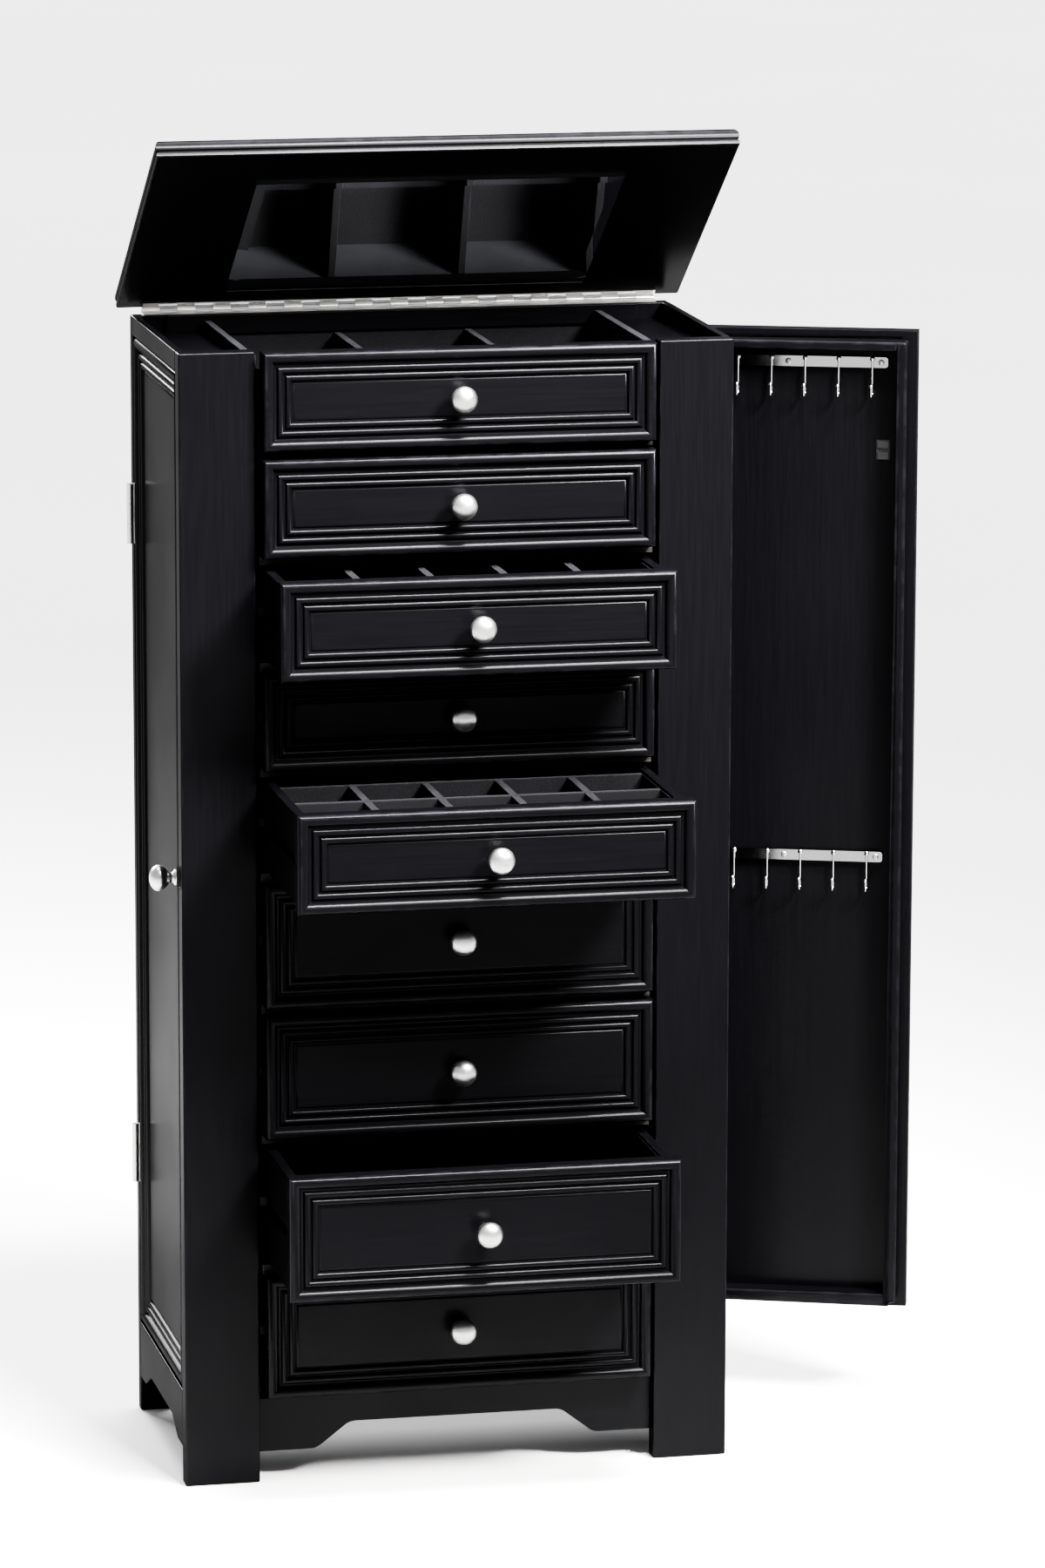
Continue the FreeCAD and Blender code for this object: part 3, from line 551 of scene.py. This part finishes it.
def add_screw(shape, origin, direction, radius, rise):
    """A low domed screw head. A thin cross that stands just proud of it is the sign of its drive."""
    place = pointing(origin, direction)
    sunk = -0.6 * MM
    outline = [(0.0, sunk), (radius, sunk), (radius, rise * 0.25), (radius * 0.85, rise * 0.7),
               (radius * 0.55, rise), (0.0, rise * 1.02)]
    add_lathe(shape, outline, place, SMALL_SIDES)
    long, short = radius * 0.55, radius * 0.13
    cross_foot, cross_top = rise * 0.6, rise * 1.06
    for half_x, half_y in ((long, short), (short, long)):
        start = len(shape.verts)
        add_box(shape, (-half_x, -half_y, cross_foot), (half_x, half_y, cross_top))
        shape.verts.ensure_lookup_table()
        bmesh.ops.transform(shape, matrix=place, verts=shape.verts[start:])


RACK_LEVELS = (953 * MM, 504 * MM)
RAIL_HIGH, RAIL_THICK, RAIL_GAP, RAIL_ROUND = 9.5 * MM, 1.8 * MM, 3.2 * MM, 2.5 * MM
SPACER_INSET, SPACER_FOOT, SPACER_NECK = 6 * MM, 3.4 * MM, 2.6 * MM
HOOK_COUNT, HOOK_STEP, HOOK_FIRST = 5, 30 * MM, 14 * MM
# HOOK_WIRE and HOOK_BALL are radii.
HOOK_WIRE, HOOK_BALL, HOOK_DROP, HOOK_BEND, HOOK_TIP = 1.05 * MM, 2.1 * MM, 29 * MM, 5 * MM, 6 * MM
# (radius, height above the rail) in millimetres
RIVET = ((0.0, -0.5), (2.3, -0.5), (2.3, 0.9), (1.9, 1.5), (1.0, 1.9), (0.0, 2.0))
RIVET_LIFT = 3 * MM


def hook_path(root, inward):
    """Down from the rail, round a half circle away from the door, and up to a tip that leans out."""
    down = Vector((0, 0, -1))
    stem_steps, bend_steps = 6, 12
    points = [root + down * (HOOK_DROP * step / stem_steps) for step in range(stem_steps + 1)]
    centre = points[-1] + inward * HOOK_BEND
    for step in range(1, bend_steps + 1):
        angle = math.pi * step / bend_steps
        points.append(centre - inward * (HOOK_BEND * math.cos(angle)) + down * (HOOK_BEND * math.sin(angle)))
    for share, lean in ((0.6, 0.4 * MM), (0.4, 0.5 * MM)):
        points.append(points[-1] - down * HOOK_TIP * share + inward * lean)
    return points


def ball_outline(radius):
    steps = 12
    return [(radius * math.sin(a), -radius * math.cos(a))
            for a in (math.pi * step / steps for step in range(steps + 1))]


def add_hook(shape, root, inward):
    """A rivet, a wire bent into a hook, and a ball on its tip."""
    add_lathe(shape, in_metres(RIVET), pointing(root, inward), SMALL_SIDES)
    wire_centre = HOOK_WIRE * 0.8
    path = hook_path(root + inward * wire_centre, inward)
    add_tube(shape, path, HOOK_WIRE)
    add_lathe(shape, ball_outline(HOOK_BALL), pointing(path[-1], (0, 0, 1)), SMALL_SIDES)


def runs_along_x(edge):
    span = edge.verts[0].co - edge.verts[1].co
    return max(abs(span.y), abs(span.z)) < 0.001 * MM


def add_rail(shape, back, front, low_y, high_y, level):
    """A flat bar with rounded ends."""
    edges = add_box(shape, (min(back, front), low_y, level - RAIL_HIGH / 2),
                    (max(back, front), high_y, level + RAIL_HIGH / 2))
    bmesh.ops.bevel(shape, geom=[edge for edge in edges if runs_along_x(edge)], offset=RAIL_ROUND,
                    segments=4, profile=0.5, affect="EDGES")


def add_spacer(shape, origin, inward):
    """A turned foot that holds a rail off the door."""
    outline = [(0.0, 0.0), (SPACER_FOOT, 0.0), (SPACER_FOOT, 0.5 * MM), (SPACER_NECK, 1.0 * MM),
               (SPACER_NECK, RAIL_GAP), (0.0, RAIL_GAP)]
    add_lathe(shape, outline, pointing(origin, inward), SMALL_SIDES)


def hook_racks(side):
    """Two racks: a slim rail on spacers, with five hooks that are riveted on and end in small balls."""
    body = f"{side}_door"
    node = f"{side}_door_hook_racks"
    swing = at_rest(body)
    low, high = closed_box(node, swing)
    inward = Vector((-SIDES[side], 0, 0))
    door_face = high.x if side == "right" else low.x
    rails, hooks, screws = new_shape(), new_shape(), new_shape()
    back = door_face + inward.x * RAIL_GAP
    front = back + inward.x * RAIL_THICK
    between_hooks = (low.y + high.y) / 2 + HOOK_STEP / 2
    for level in RACK_LEVELS:
        add_rail(rails, back, front, low.y, high.y, level)
        for y in (low.y + SPACER_INSET, between_hooks, high.y - SPACER_INSET):
            add_spacer(rails, (door_face, y, level), inward)
            add_screw(screws, Vector((front, y, level)), inward, radius=2.7 * MM, rise=0.9 * MM)
        for number in range(HOOK_COUNT):
            y = low.y + HOOK_FIRST + HOOK_STEP * number
            add_hook(hooks, Vector((front, y, level + RIVET_LIFT)), inward)
    for shape in (rails, hooks, screws):
        moved(shape, swing)
    piece(f"{node}.rails", rails, RAIL, body, [node], sharp=40.0)
    piece(f"{side}_door_hooks", hooks, BRIGHT, body, sharp=40.0)
    piece(f"{side}_door_rack_screws", screws, STEEL, body)


def strike_plate(side):
    """A thin black backing with two stacked steel bars, where the magnet takes hold."""
    body = f"{side}_door"
    node = f"{side}_door_strike_plate"
    swing = at_rest(body)
    low, high = closed_box(node, swing)
    inward = -SIDES[side]
    base, top = (high.x, low.x) if inward < 0 else (low.x, high.x)
    backing_share, gap, margin = 0.35, 3.4 * MM, 1.0 * MM
    sheet = base + (top - base) * backing_share
    middle = (low.z + high.z) / 2
    backing, bars = new_shape(), new_shape()
    edges = add_box(backing, (min(base, sheet), low.y, low.z), (max(base, sheet), high.y, high.z))
    round_off(backing, 0.2 * MM, 2, edges)
    for bottom, upper in ((low.z + margin, middle - gap / 2), (middle + gap / 2, high.z - margin)):
        edges = add_box(bars, (min(base, top), low.y + margin, bottom),
                        (max(base, top), high.y - margin, upper))
        round_off(bars, 0.4 * MM, 2, edges)
    for shape in (backing, bars):
        moved(shape, swing)
    piece(f"{side}_door_strike_backing", backing, PLASTIC, body)
    piece(f"{node}.bars", bars, DARK_STEEL, body, [node])


def catches():
    """The magnetic catches: a plastic housing with a screwed flange, and two steel pole plates at its end."""
    low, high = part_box("door_catches")
    housing = new_shape()
    poles = new_shape()
    partition_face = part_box("partitions")[1].x
    wall, recess, flange_thick, flange_reach = 1.6 * MM, 2.2 * MM, 2 * MM, 7 * MM
    pole_thick, pole_long, screw_gap = 1.6 * MM, 12 * MM, 3.6 * MM
    for sign in SIDES.values():
        root, tip = sorted((sign * partition_face, sign * (high.x - recess)))
        edges = add_box(housing, (root, low.y, low.z), (tip, high.y, high.z))
        round_off(housing, 0.9 * MM, 3, edges)
        flange_face = sign * (partition_face + flange_thick)
        flange_in, flange_out = sorted((sign * partition_face, flange_face))
        edges = add_box(housing, (flange_in, low.y, low.z - flange_reach),
                        (flange_out, high.y, high.z + flange_reach))
        round_off(housing, 0.8 * MM, 2, edges)
        start, end = sorted((sign * (high.x - pole_long), sign * high.x))
        for y in (low.y + wall, high.y - wall - pole_thick):
            edges = add_box(poles, (start, y, low.z + wall), (end, y + pole_thick, high.z - wall))
            round_off(poles, 0.3 * MM, 2, edges)
        for z in (low.z - screw_gap, high.z + screw_gap):
            add_screw(poles, Vector((flange_face, (low.y + high.y) / 2, z)), (sign, 0, 0),
                      radius=2.2 * MM, rise=0.6 * MM)
    piece("door_catches.housing", housing, PLASTIC, "cabinet", ["door_catches"])
    piece("door_catch_poles", poles, STEEL, "cabinet")


# --- felt --------------------------------------------------------------------------------------

FELT_THICK = 1.1 * MM
PARTITION_THICK = 13 * MM
DRAWER_WALL = 8 * MM
# The top of a drawer's bottom, above the lower edge of its front.
DRAWER_FLOOR = 13 * MM
FELT_BELOW_BOX, FELT_ABOVE_TRAY = 2.5 * MM, 1 * MM


def felt_pan(name, low, high, body, floor=True):
    """A felt lining: four walls and, if asked for, a floor, with a soft top edge."""
    shape = new_shape()
    inner_low = (low[0] + FELT_THICK, low[1] + FELT_THICK, low[2] + (FELT_THICK if floor else 0.0))
    inner_high = (high[0] - FELT_THICK, high[1] - FELT_THICK, high[2])
    outer_bottom, outer_top, inner_bottom, inner_top = (
        add_ring(shape, rectangle(first, last, z))
        for first, last, z in ((low, high, low[2]), (low, high, high[2]),
                               (inner_low, inner_high, inner_low[2]), (inner_low, inner_high, high[2])))
    bridge(shape, outer_bottom, outer_top)
    rim = bridge(shape, outer_top, inner_top)
    bridge(shape, inner_top, inner_bottom)
    if floor:
        shape.faces.new(list(reversed(outer_bottom)))
        shape.faces.new(inner_bottom)
    else:
        bridge(shape, inner_bottom, outer_bottom)
    round_off(shape, FELT_THICK * 0.4, 2, list({edge for face in rim for edge in face.edges}))
    piece(name, shape, FELT, body)


def drawer_lining(number):
    """Felt on the floor and up the walls of a drawer, a little below the top of the box."""
    front_low, front_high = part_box(f"drawer_{number}_front")
    low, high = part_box(f"drawer_{number}_box")
    inside_low = (low.x + DRAWER_WALL, front_high.y, front_low.z + DRAWER_FLOOR)
    inside_high = (high.x - DRAWER_WALL, high.y - DRAWER_WALL, high.z - FELT_BELOW_BOX)
    felt_pan(f"drawer_{number}_felt", inside_low, inside_high, f"drawer_{number}")


def tray_floors():
    """The floors of the tray: felt in the middle, painted board in the two shallow end bays."""
    floors = softened("tray_floors", 0.5 * MM, FELT, "cabinet")
    floors.data.materials.append(LACQUER[1])
    partition_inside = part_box("partitions")[1].x - PARTITION_THICK
    slack, painted = 0.5 * MM, 1
    for face in floors.data.polygons:
        if abs(face.center.x) > partition_inside - slack:
            face.material_index = painted


def tray_lining():
    """Felt round the walls of the middle tray, above its felt floor."""
    front_low, front_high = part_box("top_false_front")
    _, part_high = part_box("partitions")
    back_low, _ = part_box("back_panel")
    inner = part_high.x - PARTITION_THICK
    felt_pan("tray_wall_felt", (-inner, front_high.y, front_low.z),
             (inner, back_low.y, part_high.z + FELT_ABOVE_TRAY), "cabinet", floor=False)


# --- the whole armoire -------------------------------------------------------------------------

def carcass():
    """The fixed boards, each as node, edge radius in millimetres and grain axis, and what they hold."""
    boards = (("front_columns", 1.6, 2), ("back_posts", 1.4, 2), ("side_top_rails", 0.9, 1),
              ("side_aprons", 1.2, 1), ("front_apron", 1.3, 0), ("partitions", 0.6, 2),
              ("back_panel", 0.5, 2), ("back_rail", 0.9, 0), ("bottom_board", 0.7, 0))
    for node, radius, grain in boards:
        softened(node, radius * MM, LACQUER[grain], "cabinet", segments=3)
    softened("drawer_rails", 0.5 * MM, WOOD[0], "cabinet")
    softened("drawer_guides", 0.5 * MM, WOOD[1], "cabinet")
    tray_floors()
    softened("tray_dividers", 1.1 * MM, FELT, "cabinet", segments=3)


def drawers():
    for number in DRAWERS:
        body = f"drawer_{number}"
        drawer_front(f"{body}_front", body)
        front_knob(f"{body}_knob", body)
        softened(f"{body}_box", 0.7 * MM, LACQUER[1], body)
        drawer_lining(number)
        if f"{body}_dividers" in NODES:
            softened(f"{body}_dividers", 0.9 * MM, FELT, body, segments=3)


def doors():
    for side in SIDES:
        door_panel(side)
        softened(f"{side}_door_tray_rim", 2.6 * MM, LACQUER[2], f"{side}_door", segments=4)
        hook_racks(side)
        door_knob(side)
        strike_plate(side)


def dress_cad_metal():
    """Hinge leaves and pins keep their CAD shape, and get a metal finish. The lid hinge's two leaves get a
    darker and a brighter metal, as painted shade and painted highlight on alternate knuckles.
    """
    # The lid hinge's cabinet leaf gets the darker, rougher nickel and its lid leaf the brighter one. This is
    # painted shade and painted highlight that make the knuckles alternate dark and bright.
    for node, finish in (("lid_hinge_cabinet_leaf", NICKEL), ("lid_hinge_lid_leaf", BRIGHT),
                         ("door_hinge_cabinet_leaves", NICKEL), ("left_door_hinge_leaves", NICKEL),
                         ("right_door_hinge_leaves", NICKEL), ("hinge_pins", STEEL)):
        mesh = NODES[node].data
        mesh.materials.clear()
        mesh.materials.append(finish)


# --- stage, light, camera ----------------------------------------------------------------------

def stage():
    """A wide plain disc of pale paper."""
    shape = new_shape()
    rings = []
    for radius in (0.5, 1.5, 4.0, 12.0, 40.0):
        rings.append(add_ring(shape, [Vector((radius * math.cos(a), radius * math.sin(a), 0.0))
                                      for a in round_angles(64)]))
    shape.faces.new(rings[0])
    for inner, outer in zip(rings, rings[1:]):
        bridge(shape, outer, inner)
    mesh = bpy.data.meshes.new("paper")
    shape.to_mesh(mesh)
    shape.free()
    mesh.materials.append(pale_paper("pale_paper"))
    floor = bpy.data.objects.new("paper_floor", mesh)
    bpy.context.scene.collection.objects.link(floor)


def area_light(name, place, target, size, power, spread, tint=(1, 1, 1)):
    """A rectangular lamp that points at a target, with its spread in degrees."""
    data = bpy.data.lights.new(name, "AREA")
    data.shape = "RECTANGLE"
    data.size, data.size_y = size
    data.energy = power
    data.spread = math.radians(spread)
    data.color = tint
    lamp = bpy.data.objects.new(name, data)
    lamp.location = place
    lamp.rotation_euler = (Vector(target) - Vector(place)).to_track_quat("-Z", "Y").to_euler()
    bpy.context.scene.collection.objects.link(lamp)


def lights():
    """A warm key from the right, lamps above and behind, a wide overhead sun and a white room."""
    area_light("key", place=(1.5, -2.1, 2.9), target=(0, 0, 0.85), size=(0.9, 0.8), power=66, spread=42,
               tint=(1.0, 0.98, 0.96))
    area_light("edge", place=(0.5, -1.3, 3.4), target=(0, 0, 0.6), size=(1.0, 0.5), power=36, spread=44)
    area_light("rim", place=(-1.3, 5.5, 2.4), target=(0, 0, 0.9), size=(2.5, 1.2), power=70, spread=60)
    day = bpy.data.lights.new("overhead", "SUN")
    day.energy, day.angle = 5.2, math.radians(40)
    lamp = bpy.data.objects.new("overhead", day)
    lamp.rotation_euler = (math.radians(-18), math.radians(8), 0)
    bpy.context.scene.collection.objects.link(lamp)
    world = bpy.data.worlds.new("studio")
    world.use_nodes = True
    background = world.node_tree.nodes["Background"]
    background.inputs["Color"].default_value = (1, 1, 1, 1)
    background.inputs["Strength"].default_value = 0.6
    bpy.context.scene.world = world


# Metres, then degrees to the right, down and round, then the lens and the sensor's width in millimetres.
CAMERA_PLACE = (-1.2603, -6.1766, 1.8647)
CAMERA_TURN, CAMERA_TILT, CAMERA_ROLL = 12.286, 11.407, 0.134
CAMERA_LENS, CAMERA_SENSOR = 167.16, 36.0


def camera():
    data = bpy.data.cameras.new("view")
    data.lens, data.sensor_width = CAMERA_LENS, CAMERA_SENSOR
    data.clip_end = 200.0
    item = bpy.data.objects.new("view", data)
    turn = Matrix.Rotation(math.radians(-CAMERA_TURN), 4, "Z")
    tilt = Matrix.Rotation(math.radians(90 - CAMERA_TILT), 4, "X")
    roll = Matrix.Rotation(math.radians(CAMERA_ROLL), 4, "Z")
    item.matrix_world = Matrix.Translation(CAMERA_PLACE) @ turn @ tilt @ roll
    bpy.context.scene.collection.objects.link(item)
    bpy.context.scene.camera = item


bpy.context.scene.view_settings.look = "AgX - High Contrast"
camera()
lights()
stage()
carcass()
drawer_front("top_false_front", "cabinet")
front_knob("top_false_front_knob", "cabinet")
drawers()
doors()
lid_panel()
mirror_plate()
catches()
tray_lining()
dress_cad_metal()
